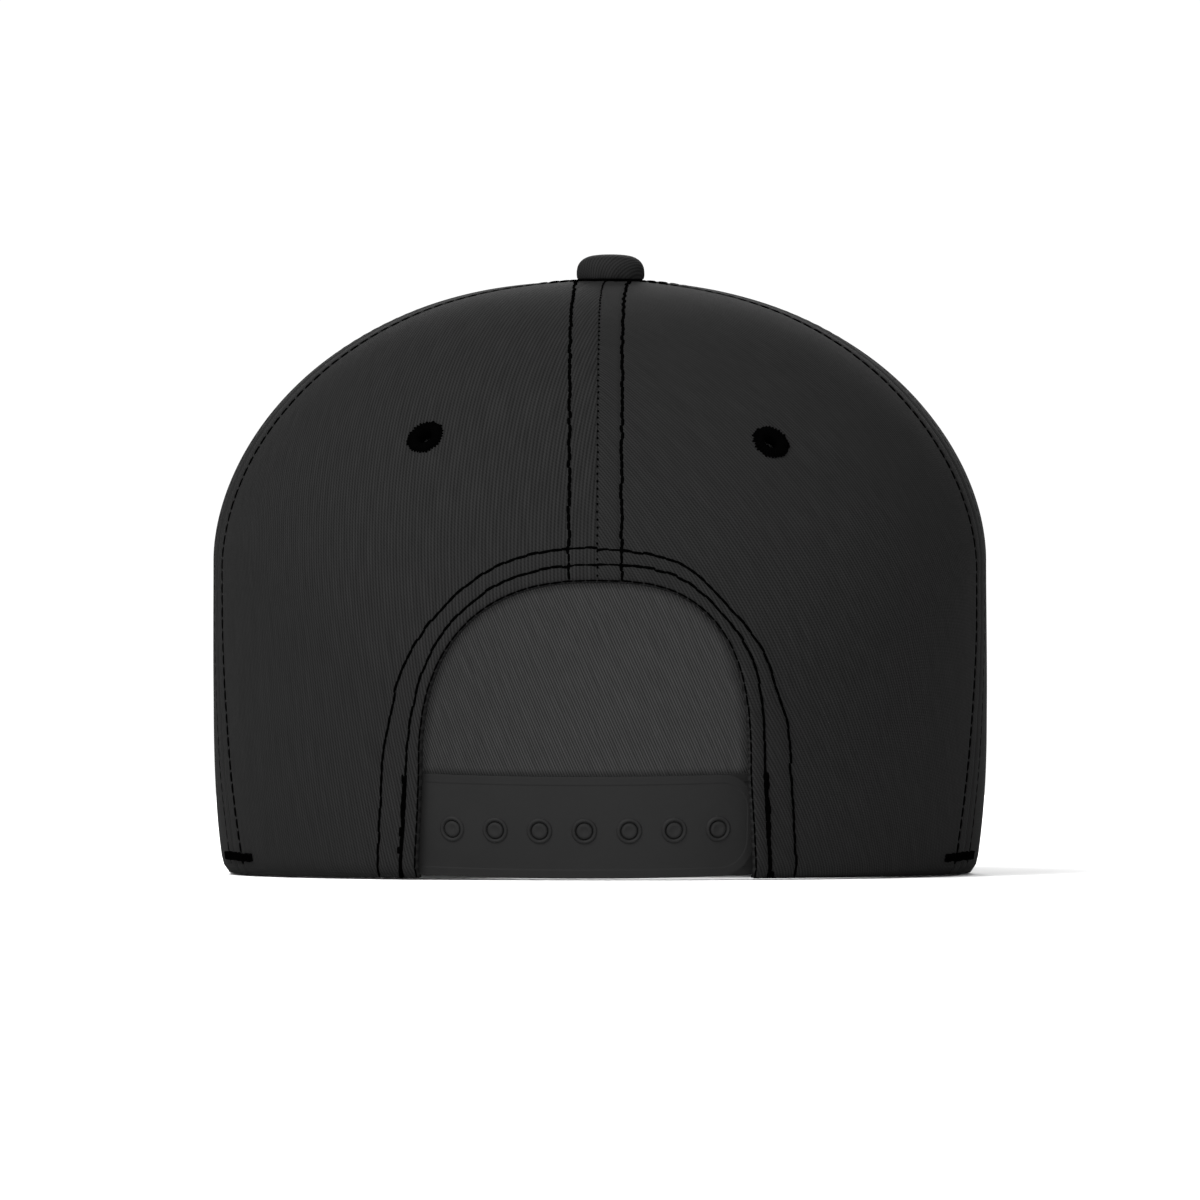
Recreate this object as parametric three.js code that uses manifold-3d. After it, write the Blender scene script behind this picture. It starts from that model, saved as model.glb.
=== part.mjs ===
// A five-panel flat bill cap with a snap strap at the back, at its real size in millimetres.
// The bill points along +Y, the wearer's right is +X, and the cap stands on its rim and bill at z = 0.
// Azimuths are in degrees round the crown, from 0 at the front through 90 at the wearer's right.
import * as THREE from "three";
import { mergeVertices } from "three/addons/utils/BufferGeometryUtils.js";
import Module from "manifold-3d";

const wasm = await Module();
wasm.setup();

// Crown: a cloth shell of five panels
const crownHeight = 134.7; // rim to the top of the cloth
const crownHalfWidth = 87.8; // widest half width, seen from the back
const crownHalfLength = 96; // from the crown's axis to the front, and to the back
const wall = 2; // cloth and backing together
const seamGap = 0.3; // between neighbouring panels
const apexShift = 2.4; // the panels meet a little to the right of the middle
const apexShiftFade = 6; // power with which that shift fades out down the crown
const topHole = 3.2; // radius left open where the panels meet, under the button
const clearance = 0.3; // between pieces that touch on the real cap

// The crown's profile in three directions, as shares of its height and of its half width or half length.
// rim: radius at the rim, tuck: height under which the wall draws in to the rim, dome: height where the
// dome starts, and the two powers of the dome's outline, across and up.
const profiles = {
  front: { rim: 0.985, tuck: 0.2, dome: 0.42, across: 2.6, up: 2.1 },
  side: { rim: 0.973, tuck: 0.22, dome: 0.531, across: 2.26, up: 1.84 },
  back: { rim: 0.985, tuck: 0.2, dome: 0.23, across: 2.02, up: 2.02 },
};
const wallShare = 0.35; // share of a profile's steps that is spent below the dome
const panelRows = 16;

// Azimuths of the seams between panels: at the rim, and above the share of the profile where they settle
const frontSeamAzimuth = { rim: 54, above: 50 };
const sideSeamAzimuth = { rim: 107.5, above: 101 };
const seamSettles = 0.3;
const backAzimuth = 180; // of the seam down the middle of the back
const fullTurn = 360;

// Arch: the opening above the strap, as it looks from straight behind
const archHeight = 66.4;
const archLegs = 24; // height of the nearly straight legs
const archSides = {
  left: { reach: 39.8, footSpread: 1, power: 2.45 },
  right: { reach: 34.2, footSpread: 1.3, power: 2.75 },
};
const archSteps = 14;

// Bill: covered board, flat, with its back corners at the crown's sides
const billThickness = 3.4;
const billLength = 68; // beyond the crown's front
const billHalfWidth = 85;
const billCornerShare = 0.935; // of the half width, where the back corners meet the crown
const billEdge = 0.8; // rounding of the edge
const billSidePlace = 19; // how far behind the crown's front the bill is widest

// Sweatband inside the rim
const bandHeight = 20;
const bandThickness = 1.2;
const bandLift = 0.6; // above the rim's edge
const bandEndAngle = 3; // degrees between its ends and the arch
const bandStepAngle = { from: 9, to: 14 }; // degrees from its ends where it steps in over the strap

// Snap strap: a strip with holes over a strip with studs
const strapHeight = 22.6;
const strapLift = 0.2;
const strapThickness = 1.3;
const strapTab = 12; // length sewn in behind each side of the arch
const strapBow = 2.4; // how much flatter the strap runs than the crown, in the middle
const strapEnd = 2; // from the top strip's free end to the arch
const strapCorner = 8; // rounding of the free ends
const studCount = 7;
const studPitch = 10;
const studRadius = 1.7;
const studProud = 0.5; // above the top strip
const snapHole = 2.1;
const ringRadius = 2.8; // raised ring round each hole
const ringHeight = 0.35;
const tailPastStud = 8; // length of the lower strip past its last stud

// Sewn eyelets, two in the back panels and two in the side panels, by azimuth and height above the rim
const eyeletRadius = 4.5;
const eyeletHole = 1.6;
const eyeletSleeve = 0.9; // thread round the hole's wall
const eyeletRim = 0.7; // height of the thread ring on the cloth
const eyelets = {
  back_right: { azimuth: 147, height: 97.4 },
  back_left: { azimuth: -146.7, height: 98.5 },
  side_right: { azimuth: 75, height: 98 },
  side_left: { azimuth: -75, height: 98 },
};

// Covered button on top, with a plain rivet under it
const buttonRadius = 7.6;
const buttonHeight = 5.6;
const rivetRadius = 2.4;
const rivetHead = { radius: 6.5, thickness: 1 };

const cloth = new THREE.MeshStandardMaterial({ color: 0x2d2d2d, roughness: 0.95, metalness: 0 });
const thread = new THREE.MeshStandardMaterial({ color: 0x060606, roughness: 0.7, metalness: 0 });
const plastic = new THREE.MeshStandardMaterial({ color: 0x292929, roughness: 0.45, metalness: 0 });
const bandCloth = new THREE.MeshStandardMaterial({ color: 0x1e1e1e, roughness: 0.9, metalness: 0 });

const rad = THREE.MathUtils.degToRad;
const smooth = THREE.MathUtils.smoothstep;
const lerp = THREE.MathUtils.lerp;

// The largest share between low and high at which test still holds.
function lastWhere(test, low = 0, high = 1) {
  for (let i = 0; i < 32; i += 1) {
    const middle = (low + high) / 2;
    if (test(middle)) low = middle;
    else high = middle;
  }
  return low;
}

// One profile of the crown at share t of its steps: its radius and height as shares.
function profileAt(profile, t) {
  if (t < wallShare) {
    const height = (profile.dome * t) / wallShare;
    const tucked = Math.max(0, 1 - height / profile.tuck);
    return { radius: 1 - (1 - profile.rim) * tucked ** 2, height };
  }
  const angle = (((t - wallShare) / (1 - wallShare)) * Math.PI) / 2;
  return {
    radius: Math.max(0, Math.cos(angle)) ** (2 / profile.across),
    height: profile.dome + (1 - profile.dome) * Math.sin(angle) ** (2 / profile.up),
  };
}

// A point on the crown's outer face.
function outerPoint(azimuth, t) {
  const across = Math.sin(rad(azimuth));
  const along = Math.cos(rad(azimuth));
  const side = profileAt(profiles.side, t);
  const end = profileAt(along > 0 ? profiles.front : profiles.back, t);
  const radius = side.radius * across ** 2 + end.radius * along ** 2;
  const height = side.height * across ** 2 + end.height * along ** 2;
  return new THREE.Vector3(
    crownHalfWidth * radius * across + apexShift * Math.max(0, 1 - radius) ** apexShiftFade,
    crownHalfLength * radius * along,
    crownHeight * height,
  );
}

// The crown's outward normal. It is level at the rim, so that the rim's edge is flat.
function outwardNormal(azimuth, t) {
  const step = 0.01;
  const t0 = Math.max(0, t - step);
  const t1 = Math.min(0.999, t + step);
  const up = outerPoint(azimuth, t1).sub(outerPoint(azimuth, t0));
  const round = outerPoint(azimuth - 1, t).sub(outerPoint(azimuth + 1, t));
  const normal = round.cross(up).normalize();
  normal.z *= smooth(t, 0, wallShare / 2);
  return normal.normalize();
}

function crownPoint(azimuth, t, inset = 0) {
  return outerPoint(azimuth, t).addScaledVector(outwardNormal(azimuth, t), -inset);
}

// The share t at which the crown's outer face reaches a height, in millimetres.
function riseTo(azimuth, height) {
  return lastWhere((t) => outerPoint(azimuth, t).z < height);
}

// The share t at which a panel ends, at the open hole under the button.
function panelTop(azimuth) {
  return lastWhere((t) => {
    const p = outerPoint(azimuth, t);
    return Math.hypot(p.x - apexShift, p.y) > topHole;
  });
}

function seamAt(seam, t) {
  return lerp(seam.rim, seam.above, smooth(t, 0, seamSettles));
}

// A box whose vertices are moved by place(x, y, z), each from 0 to 1: across, up and outwards.
function bentBox(columns, rows, place) {
  const box = new THREE.BoxGeometry(1, 1, 1, columns, rows, 1);
  const at = box.attributes.position;
  for (let i = 0; i < at.count; i += 1) {
    const p = place(at.getX(i) + 0.5, at.getY(i) + 0.5, at.getZ(i) + 0.5);
    at.setXYZ(i, p.x, p.y, p.z);
  }
  return box;
}

// A three.js geometry as a manifold-3d solid, and back.
function solidFrom(geometry) {
  const bare = geometry.clone();
  bare.deleteAttribute("normal");
  bare.deleteAttribute("uv");
  const merged = mergeVertices(bare, 1e-3);
  const vertProperties = new Float32Array(merged.attributes.position.array);
  return new wasm.Manifold(
    new wasm.Mesh({ numProp: 3, vertProperties, triVerts: new Uint32Array(merged.index.array) }),
  );
}

function geometryFrom(solid) {
  const mesh = solid.getMesh();
  const geometry = new THREE.BufferGeometry();
  geometry.setAttribute("position", new THREE.BufferAttribute(mesh.vertProperties, 3));
  geometry.setIndex(new THREE.BufferAttribute(mesh.triVerts, 1));
  geometry.computeVertexNormals();
  return geometry;
}

// A cylinder through the wall, along its normal.
function wallDrill(azimuth, height, radius) {
  const drill = new THREE.CylinderGeometry(radius, radius, wall * 6, 16).rotateX(Math.PI / 2);
  return solidFrom(standOn(drill, azimuth, riseTo(azimuth, height)));
}

// A geometry made about +Z, moved so that it stands on the crown's outer face.
function standOn(geometry, azimuth, t) {
  const turn = new THREE.Quaternion().setFromUnitVectors(
    new THREE.Vector3(0, 0, 1),
    outwardNormal(azimuth, t),
  );
  const place = crownPoint(azimuth, t);
  return geometry.applyMatrix4(
    new THREE.Matrix4().compose(place, turn, new THREE.Vector3(1, 1, 1)),
  );
}

// Half the seam gap as an angle, at a point of the crown.
function halfGap(azimuth, t) {
  const p = outerPoint(azimuth, t);
  const step = outerPoint(azimuth + 1, t).sub(p).length();
  return seamGap / 2 / step;
}

// One panel between two seams. start is the seam with the larger azimuth, on the left seen from outside.
function panelGeometry(start, end, columns, rows) {
  return bentBox(columns, rows, (x, y, z) => {
    const share = y * panelTop(lerp(start(y), end(y), x));
    const left = start(share) - halfGap(start(share), share);
    const right = end(share) + halfGap(end(share), share);
    return crownPoint(lerp(left, right, x), share, wall * (1 - z));
  });
}

// The arch as a prism along Y that cuts the two back panels.
function archCutter() {
  const shape = new THREE.Shape();
  const below = 5;
  const { left, right } = archSides;
  shape.moveTo(-left.reach - left.footSpread, -below);
  shape.lineTo(right.reach + right.footSpread, -below);
  shape.lineTo(right.reach + right.footSpread, 0);
  const rise = archHeight - archLegs;
  for (let i = 0; i <= 2 * archSteps; i += 1) {
    const angle = (i / (2 * archSteps)) * Math.PI;
    const side = i <= archSteps ? right : left;
    const power = 2 / side.power;
    const x = side.reach * Math.sign(Math.cos(angle)) * Math.abs(Math.cos(angle)) ** power;
    shape.lineTo(x, archLegs + rise * Math.sin(angle) ** power);
  }
  shape.lineTo(-left.reach - left.footSpread, 0);
  const depth = crownHalfLength;
  const prism = new THREE.ExtrudeGeometry(shape, { depth, bevelEnabled: false });
  return solidFrom(prism.rotateX(Math.PI / 2).translate(0, -crownHalfLength / 2, 0));
}

function panelMeshes() {
  const back = () => backAzimuth;
  const front = (t) => seamAt(frontSeamAzimuth, t);
  const side = (t) => seamAt(sideSeamAzimuth, t);
  const mirror = (seam) => (t) => -seam(t);
  const arch = archCutter();
  const bore = eyeletHole + eyeletSleeve + clearance;
  const drill = Object.fromEntries(
    Object.entries(eyelets).map(([place, at]) => [place, wallDrill(at.azimuth, at.height, bore)]),
  );
  const list = [
    ["front_panel", front, mirror(front), 18, []],
    ["side_panel_right", side, front, 8, [drill.side_right]],
    ["side_panel_left", mirror(front), mirror(side), 8, [drill.side_left]],
    ["back_panel_right", back, side, 13, [drill.back_right, arch]],
    ["back_panel_left", mirror(side), () => -backAzimuth, 13, [drill.back_left, arch]],
  ];
  return list.map(([name, start, end, columns, cuts]) => {
    const whole = solidFrom(panelGeometry(start, end, columns, panelRows));
    const solid = cuts.reduce((rest, cut) => rest.subtract(cut), whole);
    return named(name, geometryFrom(solid), cloth);
  });
}

function named(name, geometry, material) {
  const mesh = new THREE.Mesh(geometry, material);
  mesh.name = name;
  return mesh;
}

// A buttonhole-stitched ring that wraps the edge of its hole, outside and inside.
function eyeletMesh(name, azimuth, height) {
  const sleeve = eyeletHole + eyeletSleeve;
  const inner = -wall - 2 * clearance; // the panel is hollow on this side
  const innerRadius = eyeletRadius * 0.8;
  const half = eyeletRim / 2;
  const profile = [
    [eyeletHole, inner - half],
    [sleeve, inner - eyeletRim],
    [innerRadius, inner - half],
    [innerRadius, inner],
    [sleeve, inner],
    [sleeve, clearance],
    [eyeletRadius, clearance],
    [eyeletRadius, clearance + half],
    [sleeve, clearance + eyeletRim],
    [eyeletHole, clearance + half],
    [eyeletHole, inner - half],
  ];
  const ring = new THREE.LatheGeometry(
    profile.map(([r, y]) => new THREE.Vector2(r, y)),
    16,
  );
  const seat = standOn(ring.rotateX(Math.PI / 2), azimuth, riseTo(azimuth, height));
  return named(name, seat, thread);
}

// The covered board: its inner edge follows the crown at the bill's top, where the crown is widest.
function billMesh() {
  const edge = (azimuth) => {
    const t = riseTo(azimuth, billThickness);
    return crownPoint(azimuth, t, -clearance);
  };
  const steps = 22;
  const cornerAzimuth = lastWhere((a) => edge(a).x < billHalfWidth * billCornerShare, 0, 90);
  const corner = edge(cornerAzimuth);
  const frontY = edge(0).y + billLength;
  const sideY = edge(0).y - billSidePlace;
  const full = 0.66; // handle length that gives the squared front corners
  const shape = new THREE.Shape();
  const left = edge(-cornerAzimuth);
  shape.moveTo(left.x, left.y);
  for (let i = 1; i <= steps; i += 1) {
    const p = edge(lerp(-cornerAzimuth, cornerAzimuth, i / steps));
    shape.lineTo(p.x, p.y);
  }
  const lead = (sideY - corner.y) * 0.45;
  const reach = frontY - sideY;
  shape.bezierCurveTo(lerp(corner.x, billHalfWidth, 0.75), corner.y + lead * 0.5,
    billHalfWidth, sideY - lead, billHalfWidth, sideY);
  shape.bezierCurveTo(billHalfWidth, sideY + reach * full, billHalfWidth * full, frontY, 0, frontY);
  shape.bezierCurveTo(-billHalfWidth * full, frontY, -billHalfWidth, sideY + reach * full,
    -billHalfWidth, sideY);
  shape.bezierCurveTo(-billHalfWidth, sideY - lead, lerp(left.x, -billHalfWidth, 0.75),
    left.y + lead * 0.5, left.x, left.y);
  const plate = new THREE.ExtrudeGeometry(shape, {
    depth: billThickness - 2 * billEdge,
    curveSegments: 12,
    bevelEnabled: true,
    bevelThickness: billEdge,
    bevelSize: billEdge,
    bevelOffset: -billEdge,
    bevelSegments: 2,
  });
  return named("bill", plate.translate(0, 0, billEdge), cloth);
}

// The azimuth at which the crown's rim stands at x, behind the cap.
function rimAzimuth(x) {
  const share = x / (crownHalfWidth * profileAt(profiles.side, 0).radius);
  return backAzimuth - THREE.MathUtils.radToDeg(Math.asin(share));
}

const archFoot = {
  left: rimAzimuth(-archSides.left.reach - archSides.left.footSpread),
  right: rimAzimuth(archSides.right.reach + archSides.right.footSpread),
};

// The strap's path: just inside the panels, flatter than the crown between the arch's feet.
const strapMiddle = (archFoot.left + archFoot.right) / 2;
const strapSpan = (archFoot.left - archFoot.right) / 2;

function strapAt(azimuth, height, depth) {
  const share = (azimuth - strapMiddle) / strapSpan;
  const bow = strapBow * Math.max(0, 1 - share ** 2) ** 2;
  const t = riseTo(azimuth, height);
  const normal = outwardNormal(azimuth, t).setZ(0).normalize();
  const p = outerPoint(azimuth, t);
  p.addScaledVector(normal, -(wall + clearance + bow + depth));
  return p.setZ(height);
}

// Azimuths against length along the path at the strap's middle height, counted from the arch's middle.
const strapTable = (() => {
  const rows = [];
  const half = strapHeight / 2 + strapLift;
  const from = strapMiddle + strapSpan * 1.8;
  const steps = 120;
  let length = 0;
  let last = null;
  for (let i = 0; i <= steps; i += 1) {
    const azimuth = from - (i / steps) * strapSpan * 3.6;
    const p = strapAt(azimuth, half, 0);
    if (last) length += p.distanceTo(last);
    rows.push({ azimuth, length });
    last = p;
  }
  const middle = rows[steps / 2].length;
  return rows.map((row) => ({ azimuth: row.azimuth, length: row.length - middle }));
})();

function strapAzimuth(length) {
  const i = strapTable.findIndex((row) => row.length >= length);
  const b = strapTable[i];
  const a = strapTable[i - 1];
  return lerp(a.azimuth, b.azimuth, (length - a.length) / (b.length - a.length));
}

function lengthAt(azimuth) {
  const i = strapTable.findIndex((row) => row.azimuth <= azimuth);
  return strapTable[i].length;
}

const footLength = { left: lengthAt(archFoot.left), right: lengthAt(archFoot.right) };

// A point of the flat strap bent round the back: along, up and outwards from the path.
function onStrap(along, height, out) {
  return strapAt(strapAzimuth(along), height, -out);
}

// A strip of the strap. The free end is rounded, and drop says how far under the panels it lies.
function stripSolid(from, to, drop, freeEnd) {
  const half = strapHeight / 2;
  const geometry = bentBox(34, 2, (x, y, z) => {
    const along = lerp(from, to, x);
    const left = Math.abs((freeEnd > 0 ? to : from) - along);
    const cut = Math.max(0, strapCorner - left);
    const round = strapCorner - Math.sqrt(Math.max(0, strapCorner ** 2 - cut ** 2));
    const height = strapLift + half + (y * 2 - 1) * (half - round);
    return onStrap(along, height, strapThickness * (z - 1) - drop(along));
  });
  return solidFrom(geometry);
}

// A round post through the strap at a length along it, from one depth to another.
function postSolid(along, radius, inner, outer, tip = radius) {
  const post = new THREE.CylinderGeometry(tip, radius, 1, 16).rotateX(Math.PI / 2);
  const at = post.attributes.position;
  const middle = strapLift + strapHeight / 2;
  for (let i = 0; i < at.count; i += 1) {
    const out = lerp(inner, outer, at.getZ(i) + 0.5);
    const p = onStrap(along + at.getX(i), middle + at.getY(i), out);
    at.setXYZ(i, p.x, p.y, p.z);
  }
  return solidFrom(post);
}

const studPlaces = Array.from(
  { length: studCount },
  (_, i) => (i - (studCount - 1) / 2) * studPitch,
);

function holeStrip() {
  const from = footLength.left - strapTab;
  let solid = stripSolid(from, footLength.right - strapEnd, () => 0, 1);
  for (const along of studPlaces) {
    solid = solid.add(postSolid(along, ringRadius, -strapThickness / 2, ringHeight));
  }
  for (const along of studPlaces) {
    solid = solid.subtract(postSolid(along, snapHole, -strapThickness * 2, ringHeight * 4));
  }
  return named("strap_with_holes", geometryFrom(solid), plastic);
}

// The lower strip runs one thickness deeper under the top one, and comes up to the panel past its end.
function studStrip() {
  const layer = strapThickness + clearance;
  const topEnd = footLength.right - strapEnd;
  const drop = (along) => layer * (1 - smooth(along, topEnd + 1, topEnd + 1 + strapTab * 0.4));
  const from = studPlaces[0] - tailPastStud;
  let solid = stripSolid(from, footLength.right + strapTab, drop, -1);
  for (const along of studPlaces) {
    const root = -layer - strapThickness / 2;
    solid = solid.add(postSolid(along, studRadius, root, studProud, studRadius * 0.9));
  }
  return named("strap_with_studs", geometryFrom(solid), plastic);
}

// The sweatband lies on the panels inside, and steps in over the strap's sewn ends.
function sweatbandMesh() {
  const rightEnd = archFoot.right - bandEndAngle;
  const leftEnd = archFoot.left + bandEndAngle - fullTurn;
  const band = bentBox(44, 2, (x, y, z) => {
    const azimuth = lerp(rightEnd, leftEnd, x);
    const toEnd = Math.min(rightEnd - azimuth, azimuth - leftEnd);
    const over = 1 - smooth(toEnd, bandStepAngle.from, bandStepAngle.to);
    const step = (strapThickness + 2 * clearance) * over;
    const height = bandLift + y * bandHeight;
    const inset = wall + clearance + step + bandThickness * (1 - z);
    return crownPoint(azimuth, riseTo(azimuth, height), inset).setZ(height);
  });
  return named("sweatband", band, bandCloth);
}

// A cloth-covered dome on a rivet, turned about its own axis.
function buttonMesh() {
  const under = crownHeight + clearance;
  const inside = crownHeight - wall - clearance;
  const dome = [
    [1, 0],
    [1.01, 0.3],
    [0.98, 0.58],
    [0.88, 0.82],
    [0.7, 0.94],
    [0.4, 0.99],
  ];
  const profile = [
    [0, inside - rivetHead.thickness],
    [rivetHead.radius, inside - rivetHead.thickness],
    [rivetHead.radius, inside - clearance],
    [rivetRadius, inside - clearance],
    [rivetRadius, under],
    ...dome.map(([r, z]) => [buttonRadius * r, under + (buttonHeight - clearance) * z]),
    [0, crownHeight + buttonHeight],
  ];
  const dot = new THREE.LatheGeometry(
    profile.map(([r, z]) => new THREE.Vector2(r, z)),
    24,
  );
  return named("button", dot.rotateX(Math.PI / 2).translate(apexShift, 0, 0), cloth);
}

const cap = new THREE.Group();
cap.add(...panelMeshes(), billMesh(), sweatbandMesh(), holeStrip(), studStrip(), buttonMesh());
for (const [place, { azimuth, height }] of Object.entries(eyelets)) {
  cap.add(eyeletMesh(`eyelet_${place}`, azimuth, height));
}

// The frame's origin is the middle of the cap's footprint, bill included.
const footprint = new THREE.Box3().setFromObject(cap, true);
cap.position.y = -(footprint.min.y + footprint.max.y) / 2;

export default cap;
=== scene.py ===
import math
import random

import bmesh
import bpy
from mathutils import Matrix, Vector, noise


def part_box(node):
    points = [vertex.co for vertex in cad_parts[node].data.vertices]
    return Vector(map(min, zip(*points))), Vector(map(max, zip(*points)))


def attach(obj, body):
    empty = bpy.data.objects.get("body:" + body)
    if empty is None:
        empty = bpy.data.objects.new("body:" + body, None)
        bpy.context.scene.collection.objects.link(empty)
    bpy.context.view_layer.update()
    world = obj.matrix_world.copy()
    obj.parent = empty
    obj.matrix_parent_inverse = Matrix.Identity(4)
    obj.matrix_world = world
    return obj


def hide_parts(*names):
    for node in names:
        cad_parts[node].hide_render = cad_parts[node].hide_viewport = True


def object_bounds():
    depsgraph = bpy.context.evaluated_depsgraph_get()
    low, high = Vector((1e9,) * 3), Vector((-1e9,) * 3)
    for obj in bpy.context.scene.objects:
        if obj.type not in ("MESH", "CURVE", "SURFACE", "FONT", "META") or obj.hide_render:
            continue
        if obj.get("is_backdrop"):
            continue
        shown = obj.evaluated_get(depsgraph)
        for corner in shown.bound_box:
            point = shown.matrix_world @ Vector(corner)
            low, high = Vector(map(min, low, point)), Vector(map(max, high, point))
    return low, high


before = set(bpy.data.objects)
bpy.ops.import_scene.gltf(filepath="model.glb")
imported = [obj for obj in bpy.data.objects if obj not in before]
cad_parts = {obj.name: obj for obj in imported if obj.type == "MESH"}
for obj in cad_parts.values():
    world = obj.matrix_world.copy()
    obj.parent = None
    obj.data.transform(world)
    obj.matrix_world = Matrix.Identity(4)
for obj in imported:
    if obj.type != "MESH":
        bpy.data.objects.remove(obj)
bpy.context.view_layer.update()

# The crown: five panels of black cotton twill, the front one wide and stiff, sewn edge to edge so
# that their curved cut gives the high round shape. Each seam draws in, and the seam allowances
# folded back under it pad the cloth out as far as the rows of topstitching beside it.
mm = 0.001
crown_half_width = 87.8 * mm
crown_half_length = 96 * mm
crown_height = 134.7 * mm
crown_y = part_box("front_panel")[1].y - crown_half_length
apex_shift = 2.4 * mm
apex_shift_fade = 6
wall = 2 * mm
wall_share = 0.35
front_profile = {"rim": 0.985, "tuck": 0.2, "dome": 0.42, "across": 2.6, "up": 2.1}
side_profile = {"rim": 0.973, "tuck": 0.22, "dome": 0.531, "across": 2.26, "up": 1.84}
back_profile = {"rim": 0.985, "tuck": 0.2, "dome": 0.23, "across": 2.02, "up": 2.02}
eyelet_places = {
    "eyelet_back_right": (147, 97.4 * mm),
    "eyelet_back_left": (-146.7, 98.5 * mm),
    "eyelet_side_right": (75, 98 * mm),
    "eyelet_side_left": (-75, 98 * mm),
}


def smooth(value, low, high):
    share = min(1, max(0, (value - low) / (high - low)))
    return share * share * (3 - 2 * share)


def profile_at(profile, t):
    if t < wall_share:
        height = profile["dome"] * t / wall_share
        tucked = max(0, 1 - height / profile["tuck"])
        return 1 - (1 - profile["rim"]) * tucked**2, height
    angle = (t - wall_share) / (1 - wall_share) * math.pi / 2
    radius = max(0, math.cos(angle)) ** (2 / profile["across"])
    return radius, profile["dome"] + (1 - profile["dome"]) * math.sin(angle) ** (2 / profile["up"])


def pattern_point(azimuth, t):
    """A point of the crown as cut, with azimuth in degrees from the front towards the wearer's right."""
    across, along = math.sin(math.radians(azimuth)), math.cos(math.radians(azimuth))
    side_radius, side_height = profile_at(side_profile, t)
    end_radius, end_height = profile_at(front_profile if along > 0 else back_profile, t)
    radius = side_radius * across**2 + end_radius * along**2
    height = side_height * across**2 + end_height * along**2
    return Vector((
        crown_half_width * radius * across + apex_shift * max(0, 1 - radius) ** apex_shift_fade,
        crown_half_length * radius * along + crown_y,
        crown_height * height,
    ))


def crown_normal(azimuth, t):
    low, high = max(0, t - 0.008), min(0.995, t + 0.008)
    up = pattern_point(azimuth, high) - pattern_point(azimuth, low)
    across = pattern_point(azimuth - 0.8, t) - pattern_point(azimuth + 0.8, t)
    return across.cross(up).normalized()


def crown_point(azimuth, t, out=0):
    """A point on the cloth, out metres proud of it, with the slight unevenness of worn cloth. The
    folded rim is soft and turns in a little, except where the bill holds it."""
    point = pattern_point(azimuth, t)
    uneven = 0.35 * mm * noise.noise(point * 28) * smooth(t, 0.02, 0.15) * smooth(1 - t, 0.02, 0.2)
    from_front = 180 - abs(180 - azimuth % 360)
    turned_in = 1.3 * mm * max(0, 1 - point.z / (3.5 * mm)) ** 2 * smooth(from_front, 70, 95)
    return point + crown_normal(azimuth, t) * (out + uneven - turned_in)


def last_where(test, low=0.0, high=1.0):
    for _ in range(28):
        middle = (low + high) / 2
        low, high = (middle, high) if test(middle) else (low, middle)
    return low


def rise_to(azimuth, height):
    return last_where(lambda t: pattern_point(azimuth, t).z < height)


def millimetre_angle(azimuth, t):
    """Degrees of azimuth that a millimetre along the cloth takes."""
    step = (pattern_point(azimuth + 0.5, t) - pattern_point(azimuth - 0.5, t)).length
    return mm / max(step, 1e-6)


def front_seam(t):
    return 54 + (50 - 54) * smooth(t, 0, 0.3)


def side_seam(t):
    return 107.5 + (101 - 107.5) * smooth(t, 0, 0.3)


# The arch as seen from straight behind: nearly straight legs under a superellipse.
arch_height = 66.4 * mm
arch_legs = 24 * mm
arch_left = {"reach": 39.8 * mm, "foot": 1 * mm, "power": 2.45}
arch_right = {"reach": 34.2 * mm, "foot": 1.3 * mm, "power": 2.75}


raw_edge = 1.5 * mm


def in_arch(point):
    """Whether a point is in the opening as cut, whose raw edge lies inside the hem."""
    side = arch_right if point.x > 0 else arch_left
    reach, rise = side["reach"] + raw_edge, arch_height - arch_legs + raw_edge
    if point.z < arch_legs:
        return abs(point.x) < reach + side["foot"] * (1 - point.z / arch_legs)
    up = (point.z - arch_legs) / rise
    return up < 1 and (abs(point.x) / reach) ** side["power"] + up ** side["power"] < 1


def seam_relief(distance, line):
    """Height of the cloth at a distance from a seam with topstitching at line, both in millimetres."""
    gutter = -0.06 * math.exp(-((distance / 0.35) ** 2))
    pad = 0.16 * smooth(distance, 0.3, 1.6) * (1 - smooth(distance, line - 0.9, line + 0.3))
    groove = -0.2 * math.exp(-(((distance - line) / 0.5) ** 2))
    return (gutter + pad + groove) * mm


def meridian_lengths(azimuth):
    lengths, last = [0.0], pattern_point(azimuth, 0)
    for i in range(1, 201):
        point = pattern_point(azimuth, min(0.9999, i / 200))
        lengths.append(lengths[-1] + (point - last).length)
        last = point
    return lengths


def cut_coordinates(cut, azimuth, t):
    """Millimetres across and along the cloth's twill lines, for a panel as it was cut flat."""
    middle, lean, lengths = cut["middle"], math.radians(cut["lean"]), cut["lengths"]
    ring = pattern_point(middle, t)
    radius = math.hypot(ring.x, ring.y - crown_y)
    across = math.radians(middle - azimuth) * radius / mm
    place = min(t, 0.9999) * 200
    low = int(place)
    along = (lengths[low] + (lengths[low + 1] - lengths[low]) * (place - low)) / mm
    return (
        (across * math.cos(lean) + along * math.sin(lean)) / cut["pitch"],
        (along * math.cos(lean) - across * math.sin(lean)) / cut["pitch"],
    )


def panel_cut(middle, lean, pitch):
    return {"middle": middle, "lean": lean, "pitch": pitch, "lengths": meridian_lengths(middle)}


panel_cuts = {
    "front_panel": panel_cut(0, -27, 0.8),
    "side_panel_right": panel_cut(78, -8, 1.0),
    "side_panel_left": panel_cut(-78, 8, 1.0),
    "back_panel_right": panel_cut(140, 24, 0.85),
    "back_panel_left": panel_cut(216, 14, 1.0),
}


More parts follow.
